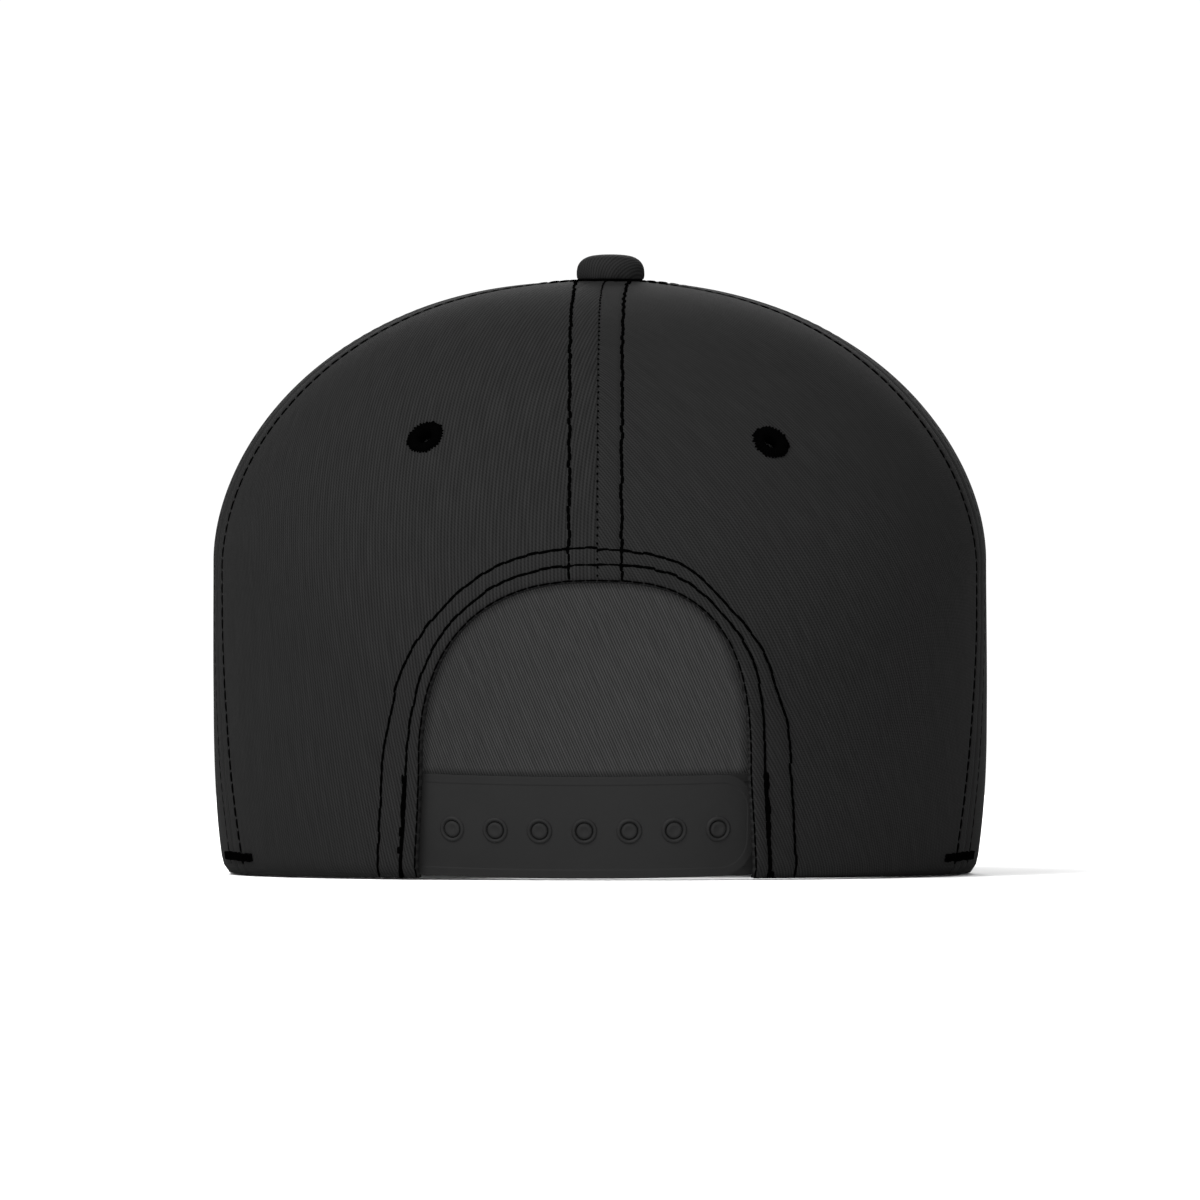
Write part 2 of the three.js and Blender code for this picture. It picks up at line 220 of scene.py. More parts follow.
def linear(hex_colour):
    parts = [int(hex_colour[i:i + 2], 16) / 255 for i in (1, 3, 5)]
    return [c / 12.92 if c <= 0.04045 else ((c + 0.055) / 1.055) ** 2.4 for c in parts] + [1]


def add_node(tree, kind, links=None, **settings):
    """Adds a node. A setting is a property or an input socket's value, and links feed inputs by name."""
    node = tree.nodes.new(kind)
    for name, value in settings.items():
        if hasattr(node, name):
            setattr(node, name, value)
    for name, value in settings.items():
        if not hasattr(node, name):
            node.inputs[name.replace("_", " ")].default_value = value
    for name, socket in (links or {}).items():
        tree.links.new(socket, node.inputs[name])
    return node


def cotton_twill(name, shade, painted_valley_shade, relief=0.11):
    """Cotton twill, matt and fuzzy: fine diagonal ribs, each a row of slanting yarns, a little uneven
    in tone from thread to thread. The valleys between the ribs are painted darker than their crests,
    as painted shade. Real ribs are 0.5 mm apart and are drawn 0.85 mm apart here."""
    material = bpy.data.materials.new(name)
    material.use_nodes = True
    tree = material.node_tree
    shader = tree.nodes["Principled BSDF"]
    cloth = add_node(tree, "ShaderNodeUVMap", uv_map="cloth").outputs["UV"]
    ribs = add_node(tree, "ShaderNodeTexWave", {"Vector": cloth}, wave_type="BANDS",
                    bands_direction="X", wave_profile="SIN", Scale=0.314 / 0.85, Distortion=0.35,
                    Detail=1.0, Detail_Scale=2.2)
    yarn_place = add_node(tree, "ShaderNodeMapping", {"Vector": cloth}, Rotation=(0, 0, math.radians(38)))
    yarns = add_node(tree, "ShaderNodeTexWave", {"Vector": yarn_place.outputs["Vector"]},
                     wave_type="BANDS", bands_direction="Y", wave_profile="SIN", Scale=0.314 / 0.62,
                     Distortion=0.5, Detail=1.0, Detail_Scale=1.5)
    weave = add_node(tree, "ShaderNodeMix", {"A": ribs.outputs["Fac"], "B": yarns.outputs["Fac"]},
                     data_type="FLOAT", Factor=0.28)
    threads = add_node(tree, "ShaderNodeMapping", {"Vector": cloth}, Scale=(1.1, 0.09, 1))
    uneven = add_node(tree, "ShaderNodeTexNoise", {"Vector": threads.outputs["Vector"]}, Scale=1.0,
                      Detail=3.0, Roughness=0.6)
    lint = add_node(tree, "ShaderNodeTexNoise", {"Vector": cloth}, Scale=1.9, Detail=2.0)
    tone = add_node(tree, "ShaderNodeMapRange", {"Value": weave.outputs["Result"]}, From_Min=0.15,
                    From_Max=0.75)
    # The colour follows the weave's height, from the crest colour down to darker valleys: painted shade.
    ribs_and_painted_shade = add_node(tree, "ShaderNodeMix", {"Factor": tone.outputs["Result"]}, data_type="RGBA")
    ribs_and_painted_shade.inputs["A"].default_value = linear(painted_valley_shade)
    ribs_and_painted_shade.inputs["B"].default_value = linear(shade)
    gain = add_node(tree, "ShaderNodeMapRange", {"Value": uneven.outputs["Fac"]}, From_Min=0.3,
                    From_Max=0.7, To_Min=0.86, To_Max=1.14)
    threaded = add_node(tree, "ShaderNodeVectorMath", {0: ribs_and_painted_shade.outputs["Result"],
                        "Scale": gain.outputs["Result"]}, operation="SCALE")
    tree.links.new(threaded.outputs["Vector"], shader.inputs["Base Color"])
    fuzz = add_node(tree, "ShaderNodeMix", {"A": weave.outputs["Result"], "B": lint.outputs["Fac"]},
                    data_type="FLOAT", Factor=0.3)
    bump = add_node(tree, "ShaderNodeBump", {"Height": fuzz.outputs["Result"]}, Strength=0.8,
                    Distance=relief * mm)
    tree.links.new(bump.outputs["Normal"], shader.inputs["Normal"])
    shader.inputs["Roughness"].default_value = 0.95
    shader.inputs["Specular IOR Level"].default_value = 0.02
    return material


# Outside face and the flatter back of the same cloth, which has no fuzz raised on it. The back is
# painted much paler than the outside, as painted light on the inside that shows through the arch.
twill = cotton_twill("cotton_twill", "#171717", "#0e0e0e")
twill_back_painted_light = cotton_twill("cotton_twill_back", "#484848", "#2e2e2e", 0.08)


def finish(name, bm, materials, replaced=()):
    """Makes a piece of a bmesh, smooth, with its places on the flat cloth as a UV map, on the cap."""
    weave = bm.verts.layers.float_vector.get("weave")
    if weave:
        layer = bm.loops.layers.uv.new("cloth")
        for face in bm.faces:
            for loop in face.loops:
                loop[layer].uv = loop.vert[weave].xy
        bm.verts.layers.float_vector.remove(weave)
    for face in bm.faces:
        face.smooth = True
    mesh = bpy.data.meshes.new(name)
    bm.to_mesh(mesh)
    bm.free()
    for material in materials:
        mesh.materials.append(material)
    piece = bpy.data.objects.new(name, mesh)
    bpy.context.scene.collection.objects.link(piece)
    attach(piece, "root")
    if replaced:
        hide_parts(*replaced)
    return piece


def add_modifier(piece, kind, **settings):
    modifier = piece.modifiers.new(kind.title(), kind)
    for name, value in settings.items():
        setattr(modifier, name, value)
    return modifier


seam_steps = [0, 0.3, 0.65, 1.1, 1.8, 2.9, 4.0, 4.7, 5.1, 5.5, 5.9, 6.4, 7.4, 9.0, 10.8]
topstitch = 5.3


def panel_columns(width, left_line, right_line, middle_columns):
    """Places across a panel in millimetres, close together beside the seams."""
    left = [step * left_line / 5.5 for step in seam_steps]
    right = [step * right_line / 5.5 for step in seam_steps]
    squeeze = min(1, width / (2.4 * (left[-1] + right[-1]) / 2))
    left = [place * squeeze for place in left]
    right = [width - place * squeeze for place in reversed(right)]
    gap = right[0] - left[-1]
    middle = [left[-1] + gap * (i + 1) / (middle_columns + 1) for i in range(middle_columns)]
    return left + middle + right, squeeze


def sew_panel(name, left_seam, right_seam, rows, middle_columns, lines=(topstitch, topstitch), arch=None):
    """One panel between two seams, left and right as seen from outside, warped from a flat grid."""
    columns = 2 * len(seam_steps) + middle_columns - 1
    bm = bmesh.new()
    bmesh.ops.create_grid(bm, x_segments=columns, y_segments=len(rows) - 1, size=0.5)
    row_places = []
    for t in rows:
        left, right = left_seam(t), right_seam(t)
        if arch == "left" and in_arch(pattern_point(left, t)):
            left -= last_where(lambda s: in_arch(pattern_point(left_seam(t) - s * 60, t))) * 60
        if arch == "right" and in_arch(pattern_point(right, t)):
            right += last_where(lambda s: in_arch(pattern_point(right_seam(t) + s * 60, t))) * 60
        middle = (left + right) / 2
        width = (left - right) / millimetre_angle(middle, t)
        places, squeeze = panel_columns(width, *lines, middle_columns)
        open_left, open_right = left != left_seam(t), right != right_seam(t)
        row_places.append((left, right, width, places, squeeze, open_left, open_right))
    weave = bm.verts.layers.float_vector.new("weave")
    for vert in bm.verts:
        column = round((vert.co.x + 0.5) * columns)
        row = round((vert.co.y + 0.5) * (len(rows) - 1))
        left, right, width, places, squeeze, open_left, open_right = row_places[row]
        t, place = rows[row], places[column]
        azimuth = left + (right - left) * place / width
        out = 0
        if not open_left:
            out += seam_relief(place / squeeze, lines[0]) * squeeze
        if not open_right:
            out += seam_relief((width - place) / squeeze, lines[1]) * squeeze
        vert.co = crown_point(azimuth, t, out)
        vert[weave] = (*cut_coordinates(panel_cuts[name], azimuth, t), 0)
    # The hole under each sewn eyelet, which the thread ring covers.
    for azimuth, height in eyelet_places.values():
        centre = pattern_point(azimuth, rise_to(azimuth, height))
        under = [f for f in bm.faces if (f.calc_center_median() - centre).length < 2.5 * mm]
        bmesh.ops.delete(bm, geom=under, context="FACES")
    piece = finish(name + "_cloth", bm, [twill, twill_back_painted_light], [name])
    add_modifier(piece, "SOLIDIFY", thickness=wall, offset=-1, material_offset=1, use_even_offset=False)
    return piece


def panel_top(azimuth):
    return last_where(lambda t: (pattern_point(azimuth, t).xy - Vector((apex_shift, crown_y))).length > 3.4 * mm)


def crown_rows(top, count, extra=()):
    rows = [top * i / count for i in range(count + 1)]
    rows += [t for t in extra if all(abs(t - other) > 0.0015 for other in rows)]
    return sorted(rows)


# Rows stand closer together round the top of the arch, where its edge runs nearly level.
arch_rows = [rise_to(180, arch_height + raw_edge - drop * mm) for drop in (-0.4, 0.02, 0.3, 0.8, 1.5, 2.4, 3.5)]
sew_panel("front_panel", lambda t: front_seam(t), lambda t: -front_seam(t), crown_rows(panel_top(0), 96), 66)
sew_panel("side_panel_right", lambda t: side_seam(t), lambda t: front_seam(t), crown_rows(panel_top(75), 96), 22)
sew_panel("side_panel_left", lambda t: -front_seam(t), lambda t: -side_seam(t), crown_rows(panel_top(75), 96), 22)
sew_panel("back_panel_right", lambda t: 180, lambda t: side_seam(t),
          crown_rows(panel_top(180), 104, arch_rows), 44, (5.4, topstitch), "left")
sew_panel("back_panel_left", lambda t: 360 - side_seam(t), lambda t: 180,
          crown_rows(panel_top(180), 104, arch_rows), 44, (topstitch, 6.4), "right")


# The hem of the arch: the back panels' own cloth folded in twice and sewn down with two rows, so
# the opening has a padded, rounded edge that stands a little proud of the panel.
def behind(x, z):
    """Azimuth and share of the profile of the crown's point seen from behind at x and z."""
    azimuth = 180 - math.degrees(math.asin(max(-0.99, min(0.99, x / crown_half_width))))
    t = rise_to(180, z)
    for _ in range(6):
        here = pattern_point(azimuth, t)
        turn = (pattern_point(azimuth + 0.05, t) - here) / 0.05
        rise = (pattern_point(azimuth, t + 0.0005) - here) / 0.0005
        off_x, off_z = x - here.x, z - here.z
        scale = turn.x * rise.z - turn.z * rise.x
        azimuth += (off_x * rise.z - off_z * rise.x) / scale
        t = max(0, t + (off_z * turn.x - off_x * turn.z) / scale)
    return azimuth, t


def arch_edge(side, steps=600):
    """The arch's edge from one foot up to the middle of its top, as (x, z) places 0.5 mm apart."""
    hand = 1 if side is arch_right else -1
    outline = [((side["reach"] + side["foot"] * (1 - i / 20)) * hand, arch_legs * i / 20) for i in range(20)]
    for i in range(steps + 1):
        angle = i / steps * math.pi / 2
        x = side["reach"] * max(0, math.cos(angle)) ** (2 / side["power"])
        outline.append((x * hand, arch_legs + (arch_height - arch_legs) * math.sin(angle) ** (2 / side["power"])))
    return outline


def spaced(outline, places):
    """Points at given lengths from the outline's end, with its direction there."""
    back = list(reversed(outline))
    found, length, i = [], 0.0, 1
    for place in places:
        while i < len(back) - 1 and length + math.dist(back[i - 1], back[i]) < place:
            length += math.dist(back[i - 1], back[i])
            i += 1
        step = math.dist(back[i - 1], back[i])
        share = (place - length) / step if step else 0
        point = [back[i - 1][k] + (back[i][k] - back[i - 1][k]) * share for k in (0, 1)]
        low, high = back[max(0, i - 3)], back[min(len(back) - 1, i + 2)]
        found.append((point, (low[0] - high[0], low[1] - high[1])))
    return found


def outline_length(outline):
    return sum(math.dist(a, b) for a, b in zip(outline, outline[1:]))


def beside_arch(point, direction, hand, distance):
    """Where the cloth is at a distance from the arch's edge, measured along the cloth."""
    size = math.hypot(*direction)
    away = (direction[1] / size * hand, -direction[0] / size * hand)
    normal = crown_normal(*behind(*point))
    slope = -(normal.x * away[0] + normal.z * away[1]) / normal.y
    reach = distance / math.sqrt(1 + slope * slope)
    x, z = point[0] + away[0] * reach, max(0.0, point[1] + away[1] * reach)
    return behind(x, z)


# Distance from the edge and height over the panel, in millimetres, right round the folded hem, with
# the rows of stitches at section_rows.
section_rows = (3.8, 8.2)
section_end = 8.9
# Distance from the edge of the black line along the arch, which is painted shade of the hem's fold.
painted_edge_shade_line = 0.1
hem_section = [
    (8.9, -0.5), (8.75, -0.08), (8.5, 0.02), (8.2, 0.04), (7.9, 0.14), (7.4, 0.26), (6.6, 0.32), (5.4, 0.32),
    (4.6, 0.27), (4.1, 0.15), (3.8, 0.1), (3.5, 0.15), (3.0, 0.28), (2.2, 0.34), (1.4, 0.34), (0.7, 0.26),
    (0.25, 0.02), (0.02, -0.4), (0.0, -1.1), (0.05, -1.8), (0.35, -2.3), (0.9, -2.5), (3, -2.55), (8.0, -2.5),
    (8.8, -2.3), (8.9, -1.2),
]

# The hem was folded by hand and its width varies: length down from the arch's top and the distances
# of both rows from the edge, in millimetres.
hem_lines_right = [(0, 3.8, 7.3), (14, 3.6, 6.8), (28, 2.4, 4.5), (42, 3.5, 6.8), (58, 3.4, 9.6), (88, 3.3, 9.8)]
hem_lines_left = [(0, 3.7, 7.6), (16, 3.5, 7.5), (32, 2.7, 6.6), (52, 2.5, 7.8), (68, 3.3, 9.5), (91, 3.5, 9.6)]


def hem_place(side, length, distance):
    """Distance from the edge at which a place of the section lies, at a length down from the top."""
    lines = hem_lines_right if side is arch_right else hem_lines_left
    i = next((i for i in range(1, len(lines)) if length <= lines[i][0]), len(lines) - 1)
    share = smooth(length, lines[i - 1][0], lines[i][0])
    inner, outer = (lines[i - 1][k] + (lines[i][k] - lines[i - 1][k]) * share for k in (1, 2))
    if distance < section_rows[0]:
        return distance * inner / section_rows[0]
    if distance < section_rows[1]:
        return inner + (distance - section_rows[0]) * (outer - inner) / (section_rows[1] - section_rows[0])
    return outer + distance - section_rows[1]


def sew_hem(name, side, cut, seam_line):
    hand = 1 if side is arch_right else -1
    outline = arch_edge(side)
    total = outline_length(outline) / mm
    places = [step * seam_line / 5.5 for step in seam_steps]
    count = int((total - places[-1]) / 1.3)
    places += [places[-1] + (total - places[-1]) * (i + 1) / count for i in range(count)]
    stations = spaced(outline, [place * mm for place in places])
    columns, around = len(places) - 1, len(hem_section)
    bm = bmesh.new()
    bmesh.ops.create_grid(bm, x_segments=columns, y_segments=around, size=0.5)
    weave = bm.verts.layers.float_vector.new("weave")
    for vert in bm.verts:
        column = round((vert.co.x + 0.5) * columns)
        row = round((vert.co.y + 0.5) * around) % around
        distance, out = hem_section[row]
        (point, direction), place = stations[column], places[column]
        azimuth, t = beside_arch(point, direction, hand, hem_place(side, place, distance) * mm)
        relief = seam_relief(place, seam_line) if out > -1 else 0
        vert.co = crown_point(azimuth, t, out * mm + relief)
        vert.co.z = max(0.0, vert.co.z)
        vert[weave] = (*cut_coordinates(cut, azimuth, t), 0)
    bmesh.ops.remove_doubles(bm, verts=bm.verts, dist=1e-6)
    bmesh.ops.holes_fill(bm, edges=[e for e in bm.edges if e.is_boundary], sides=0)
    bmesh.ops.recalc_face_normals(bm, faces=bm.faces)
    return finish(name, bm, [twill])


sew_hem("arch_hem_right", arch_right, panel_cuts["back_panel_right"], 5.4)
sew_hem("arch_hem_left", arch_left, panel_cuts["back_panel_left"], 6.4)


# The sewing: black polyester thread in stitches about 3 mm long, pulled tight so that each end
# dives into the cloth, in twin rows beside every seam and round the arch.
def sewing_thread(name):
    material = bpy.data.materials.new(name)
    material.use_nodes = True
    shader = material.node_tree.nodes["Principled BSDF"]
    shader.inputs["Base Color"].default_value = linear("#010101")
    shader.inputs["Roughness"].default_value = 0.8
    shader.inputs["Specular IOR Level"].default_value = 0.0
    return material


thread = sewing_thread("polyester_thread")
stitch_pitch = 2.9 * mm
random.seed(7)


bm = bmesh.new()
bmesh.ops.create_uvsphere(bm, u_segments=6, v_segments=6, radius=1,
                          matrix=Matrix.Rotation(math.pi / 2, 4, "Y"))
for vert in bm.verts:
    girth = math.hypot(vert.co.y, vert.co.z)
    if girth > 0.01:
        vert.co.yz = vert.co.yz / math.sqrt(girth)
stitch = bpy.data.meshes.new("stitch")
bm.to_mesh(stitch)
bm.free()


def add_stitch(bm, place, along, normal, length, width, height):
    along = along.normalized()
    across = normal.cross(along).normalized()
    normal = along.cross(across)
    turn = Matrix((along, across, normal)).transposed().to_4x4()
    size = Matrix.Diagonal((length / 2, width / 2, height / 2, 1))
    placed = stitch.copy()
    placed.transform(Matrix.Translation(place) @ turn @ size)
    bm.from_mesh(placed)
    bpy.data.meshes.remove(placed)


def sew_along(bm, path, pitch=stitch_pitch, width=0.56 * mm, height=0.44 * mm, wobble=0.1 * mm, cover=1.12):
    """Stitches at even lengths along a path of (point, normal) pairs."""
    lengths = [0.0]
    for (a, _), (b, _) in zip(path, path[1:]):
        lengths.append(lengths[-1] + (b - a).length)
    count = max(1, round(lengths[-1] / pitch))
    step = lengths[-1] / count
    i = 0
    for n in range(count):
        ends = []
        for wanted in (n * step, (n + 1) * step):
            j = max(0, i - 1)
            while j < len(lengths) - 2 and lengths[j + 1] < wanted:
                j += 1
            share = (wanted - lengths[j]) / max(1e-9, lengths[j + 1] - lengths[j])
            ends.append((path[j][0].lerp(path[j + 1][0], share), path[j][1]))
            i = j
        (a, normal), (b, _) = ends
        side = normal.cross(b - a).normalized() * random.uniform(-wobble, wobble)
        slant = normal.cross(b - a).normalized() * random.uniform(-wobble, wobble)
        add_stitch(bm, (a + b) / 2 + side + normal * 0.03 * mm, b - a + slant, normal, step * cover, width, height)


def hem_rise(point):
    """How far the hem of the arch stands proud of the panel at a point above its top."""
    side = arch_right if point.x > 0 else arch_left
    edge = (arch_height - arch_legs) * (1 - (abs(point.x) / side["reach"]) ** side["power"]) ** (1 / side["power"])
    distance = (point.z - arch_legs - edge) / mm
    if distance > hem_place(side, 6, section_end):
        return 0
    nearest = min(hem_section[2:17], key=lambda place: abs(hem_place(side, 6, place[0]) - distance))
    return max(0.1, nearest[1]) * mm


def seam_path(seam, offset, line, start=0.012, steps=170, widest=20):
    """A row beside a seam, at an offset in millimetres along the cloth, up to the button. Near the
    button it draws in, so as to stay within widest degrees of the seam."""
    path = []
    for i in range(steps + 1):
        t = start + (0.985 - start) * i / steps
        azimuth = seam(t)
        angle = millimetre_angle(azimuth, t)
        squeeze = min(1, widest / (abs(offset) * angle)) if offset else 1
        azimuth -= offset * squeeze * angle
        from_button = (pattern_point(azimuth, t).xy - Vector((apex_shift, crown_y))).length
        grooved = smooth(from_button, 11 * mm, 19 * mm)
        out = seam_relief(abs(offset), line) * grooved + (0.18 - 0.12 * grooved) * mm
        if abs(abs(azimuth) - 180) < 20:
            out += hem_rise(pattern_point(azimuth, t))
        point = crown_point(azimuth, t, out)
        if (point.xy - Vector((apex_shift, crown_y))).length < 7.2 * mm:
            break
        path.append((point, crown_normal(azimuth, t)))
    return path


topstitching = bmesh.new()
arch_top = rise_to(180, arch_height + 0.15 * mm)
for seam in (front_seam, lambda t: -front_seam(t), side_seam, lambda t: -side_seam(t)):
    for offset in (-topstitch, topstitch):
        sew_along(topstitching, seam_path(seam, offset, topstitch), 2.7 * mm, 0.72 * mm, 0.55 * mm, 0.12 * mm, 0.84)
for offset, line in ((-6.4, 6.4), (5.4, 5.4)):
    path = seam_path(lambda t: 180, offset, line, arch_top, widest=62)
    sew_along(topstitching, path, 2 * mm, 0.85 * mm, 0.6 * mm, 0.2 * mm)
finish("seam_topstitching", topstitching, [thread])

# The seam itself shows its thread as a row of dots, where it pulls the two panels together.
seam_dots = bmesh.new()
path = seam_path(lambda t: 180, 0, 5.5, arch_top)
sew_along(seam_dots, [(p + n * 0.06 * mm, n) for p, n in path], 1.95 * mm, 0.48 * mm, 0.4 * mm, 0.08 * mm, 0.27)
finish("back_seam_thread", seam_dots, [thread])

# Two rows hold the hem of the arch, and a continuous line of black thread along its very edge is
# painted shade of the hem's fold. The inner row is sewn over many times beside the strap, where it
# holds the strap's ends, and finished off with a knot.
arch_stitching = bmesh.new()
for side in (arch_right, arch_left):
    hand = 1 if side is arch_right else -1
    outline = arch_edge(side)
    length = outline_length(outline)
    places = [length * i / 130 for i in range(131)]
    for row in (*section_rows, painted_edge_shade_line):
        out = -0.08 * mm if row == painted_edge_shade_line else 0.18 * mm
        path = []
        for place, (point, direction) in zip(places, spaced(outline, places)):
            azimuth, t = beside_arch(point, direction, hand, hem_place(side, place / mm, row) * mm)
            path.append((crown_point(azimuth, t, out), crown_normal(azimuth, t)))
        # The line at the very edge: black thread sewn almost without gaps, as painted shade along the fold.
        if row == painted_edge_shade_line:
            sew_along(arch_stitching, path, 2.6 * mm, 0.5 * mm, 0.4 * mm, 0.05 * mm, 0.98)
            continue
        sew_along(arch_stitching, path, 2.6 * mm, 0.7 * mm, wobble=0.17 * mm)
        if row == section_rows[0]:
            tack = [step for step in path if step[0].z < 23.8 * mm]
            for shift in (-0.42, -0.14, 0.14, 0.42):
                moved = [(p + Vector((shift * mm, 0, 0)), n) for p, n in tack]
                sew_along(arch_stitching, moved, 1.9 * mm, 0.66 * mm, 0.5 * mm, 0.22 * mm)
            knot_low, knot_high = (0.2 * mm, 1.6 * mm) if hand > 0 else (5.2 * mm, 7.6 * mm)
            knot = [step for step in tack if knot_low < step[0].z < knot_high]
            for shift in (-1.7, -1.2, -0.8, 0.6, 0.9):
                moved = [(p + Vector((shift * hand * mm, 0, 0)), n) for p, n in knot]
                if len(moved) > 1:
                    sew_along(arch_stitching, moved, 1.1 * mm, 0.6 * mm, 0.6 * mm, 0.25 * mm)
finish("arch_stitching", arch_stitching, [thread])

# A bar tack across the foot of each side seam: close zigzag stitches 23 mm wide.
bar_tacks = bmesh.new()
for seam in (side_seam, lambda t: -side_seam(t)):
    hand = 1 if seam(0) > 0 else -1
    for row in range(4):
        t = rise_to(seam(0), (3.7 + 0.4 * row) * mm)
        angle = millimetre_angle(seam(t), t)
        path = [(crown_point(seam(t) + x * hand * angle, t, 0.2 * mm), crown_normal(seam(t) + x * hand * angle, t))
                for x in range(-10, 14)]
        sew_along(bar_tacks, path, 1.3 * mm, 0.75 * mm, 0.6 * mm, 0.16 * mm)
finish("bar_tacks", bar_tacks, [thread])


# Sewn eyelets: a punched hole bound right round with close radial stitches of the same thread,
# whose uneven ends give the rim its serrated outline.
def eyelet_thread(name):
    material = sewing_thread(name)
    material.node_tree.nodes["Principled BSDF"].inputs["Roughness"].default_value = 0.6
    return material


satin = eyelet_thread("satin_stitch_thread")
eyelet_section = [(1.6, -2.4), (1.5, -1.2), (1.6, 0.1), (1.95, 0.55), (2.6, 0.78), (3.3, 0.72), (3.9, 0.52),
                  (4.3, 0.25), (4.5, -0.1), (3.9, -0.4), (2.6, -0.5), (2.5, -1.8), (3.4, -2.2), (3.6, -2.45),
                  (2.6, -2.7), (1.9, -2.65)]
for name, (azimuth, height) in eyelet_places.items():
    t = rise_to(azimuth, height)
    normal = crown_normal(azimuth, t)
    seat = Matrix.Translation(crown_point(azimuth, t)) @ normal.to_track_quat("Z", "Y").to_matrix().to_4x4()
    stitches, per_stitch = 34, 5
    around, across = stitches * per_stitch, len(eyelet_section)
    reach = [random.uniform(0.93, 1.04) for _ in range(stitches)]
    bm = bmesh.new()
    bmesh.ops.create_grid(bm, x_segments=around, y_segments=across, size=0.5)
    for vert in bm.verts:
        step = round((vert.co.x + 0.5) * around) % around
        radius, out = eyelet_section[round((vert.co.y + 0.5) * across) % across]
        ridge = abs(math.sin(math.pi * step / per_stitch))
        share = smooth(radius, 2.2, 4.3)
        radius *= 1 + share * (reach[step // per_stitch] * (0.9 + 0.12 * ridge) - 1)
        out += 0.16 * (ridge - 0.5) * (1 if out > 0 else -1)
        angle = math.tau * step / around
        vert.co = seat @ Vector((math.cos(angle) * radius * mm, math.sin(angle) * radius * mm, out * mm))
    bmesh.ops.remove_doubles(bm, verts=bm.verts, dist=1e-6)
    bmesh.ops.recalc_face_normals(bm, faces=bm.faces)
    finish(name + "_stitches", bm, [satin], [name])


# The button: a tin dome with a disc of the crown's twill stretched over it and tucked under,
# riveted through the point where the panels meet.
button_section = [(0, 6.05), (2.2, 6.0), (4.2, 5.8), (5.7, 5.35), (6.8, 4.55), (7.45, 3.6), (7.7, 2.6), (7.75, 1.7),
                  (7.7, 0.9), (7.5, 0.35), (7.1, 0.25), (6.2, 0.5), (5, 0.5), (2.4, 0.4), (2.4, -2.3), (6.3, -2.6),
                  (6.5, -3.1), (6.3, -3.3), (0, -3.3)]
bm = bmesh.new()
points = [bm.verts.new((radius * mm, 0, out * mm)) for radius, out in button_section]
edges = [bm.edges.new(pair) for pair in zip(points, points[1:])]
bmesh.ops.spin(bm, geom=points + edges, cent=(0, 0, 0), axis=(0, 0, 1), angle=math.tau, steps=64, use_merge=True)
bmesh.ops.remove_doubles(bm, verts=bm.verts, dist=1e-6)
bmesh.ops.recalc_face_normals(bm, faces=bm.faces)
weave = bm.verts.layers.float_vector.new("weave")
for vert in bm.verts:
    turn, reach = math.atan2(vert.co.y, vert.co.x), math.hypot(vert.co.x, vert.co.y)
    pleat = 0.1 * mm * math.sin(turn * 11) * smooth(reach, 5 * mm, 7.4 * mm) * smooth(-vert.co.z, -2.5 * mm, 0)
    spread = (reach + max(0, 4.6 * mm - vert.co.z) * smooth(reach, 4 * mm, 7 * mm)) / mm
    vert[weave] = (spread * math.cos(turn + 0.6), spread * math.sin(turn + 0.6), 0)
    vert.co += Vector((math.cos(turn), math.sin(turn), 0)) * pleat
bmesh.ops.translate(bm, verts=bm.verts, vec=(apex_shift, crown_y, crown_height))
button = finish("covered_button", bm, [twill], ["button"])
add_modifier(button, "SUBSURF", levels=1, render_levels=1)

# A ring of black thread under the button: the ends of all the rows of topstitching, drawn together
# in a tuft there, and painted shade of the gap under the button's rim.
thread_ends_and_painted_shade = bmesh.new()
around = []
for i in range(97):
    turn = math.tau * i / 96
    away = Vector((math.cos(turn), math.sin(turn), 0))
    around.append((Vector((apex_shift, crown_y, crown_height + 0.02 * mm)) + away * 7.05 * mm, away))
sew_along(thread_ends_and_painted_shade, around, 2 * mm, 0.62 * mm, 0.7 * mm, 0.1 * mm)
finish("button_thread_ends", thread_ends_and_painted_shade, [thread])


# The bill: a stiff flat board between two layers of twill, its edge wrapped and the whole sewn
# through in eight rows that follow the outer edge.
bill_thickness = 3.4 * mm
bill_half_width = 85 * mm
bill_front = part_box("bill")[1].y
bill_corner_share = 0.935
bill_row_gap = 7 * mm
bill_rows = 8
thread_rise = 0.22 * mm


def bill_inner(azimuth):
    t = rise_to(azimuth, bill_thickness)
    return pattern_point(azimuth, t) + crown_normal(azimuth, t).normalized() * 0.2 * mm


bill_corner = last_where(lambda a: bill_inner(a * 90).x < bill_half_width * bill_corner_share) * 90
corner = bill_inner(bill_corner)
side_y = bill_inner(0).y - 19 * mm
lead, reach = (side_y - corner.y) * 0.45, bill_front - side_y
bill_curves = [
    [(corner.x, corner.y), (corner.x + (bill_half_width - corner.x) * 0.75, corner.y + lead * 0.5),
     (bill_half_width, side_y - lead), (bill_half_width, side_y)],
    [(bill_half_width, side_y), (bill_half_width, side_y + reach * 0.66), (bill_half_width * 0.66, bill_front), (0, bill_front)],
]


def bezier(points, s):
    weights = ((1 - s) ** 3, 3 * s * (1 - s) ** 2, 3 * s * s * (1 - s), s**3)
    return tuple(sum(w * p[k] for w, p in zip(weights, points)) for k in (0, 1))


right_edge = [bezier(curve, i / 60) for curve in bill_curves for i in range(60)] + [(0, bill_front)]
outer_edge = right_edge + [(-x, y) for x, y in reversed(right_edge[:-1])]


def edge_place(share):
    """Point of the bill's outer edge at a share of its length, from the right corner."""
    (point, direction), = spaced(list(reversed(outer_edge)), [share * outline_length(outer_edge)])
    return Vector((*point, 0)), Vector((*direction, 0)).normalized()


